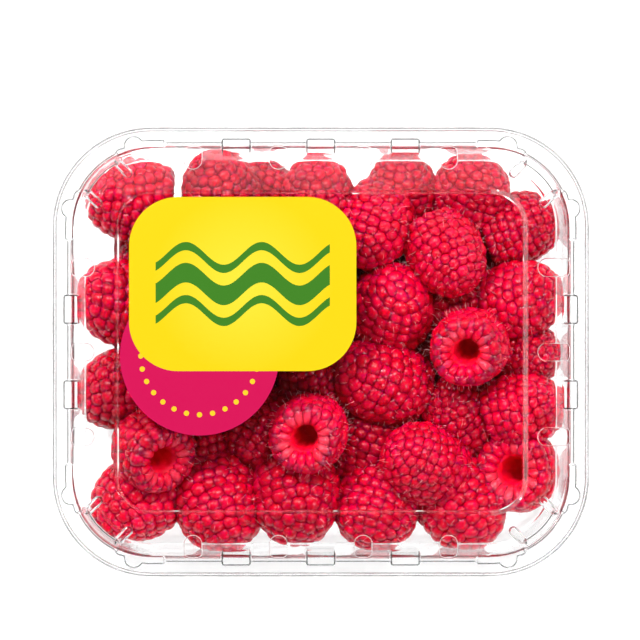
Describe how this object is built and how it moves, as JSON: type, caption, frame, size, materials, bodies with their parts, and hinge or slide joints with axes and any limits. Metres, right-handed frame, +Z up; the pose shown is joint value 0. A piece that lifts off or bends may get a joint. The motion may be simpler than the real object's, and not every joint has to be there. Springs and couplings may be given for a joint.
{
  "type": "punnet of raspberries",
  "caption": "Shut clear plastic punnet of raspberries: tapered tray with a flange, vented lid clipped over its rim, paper label on top, and an uneven heap of fruit inside.",
  "frame": {"origin": "centre of the pack's outline, on the surface that the tray's foot stands on", "axes": "+X along the pack's length, +Y across it towards the picture's top edge, +Z up"},
  "size_m": [0.143, 0.1198, 0.0393],
  "materials": {
    "tray": "clear thermoformed plastic sheet, glossy",
    "lid": "clear thermoformed plastic sheet, glossy",
    "label": "printed paper sticker, yellow and magenta fields, satin",
    "raspberries": "stands for ripe raspberries: moist red drupelets with a fine pale down"
  },
  "bodies": {
    "root": {"tray": "tray", "lid": "lid", "label": "label", "raspberries": "raspberries"}
  },
  "joints": []
}
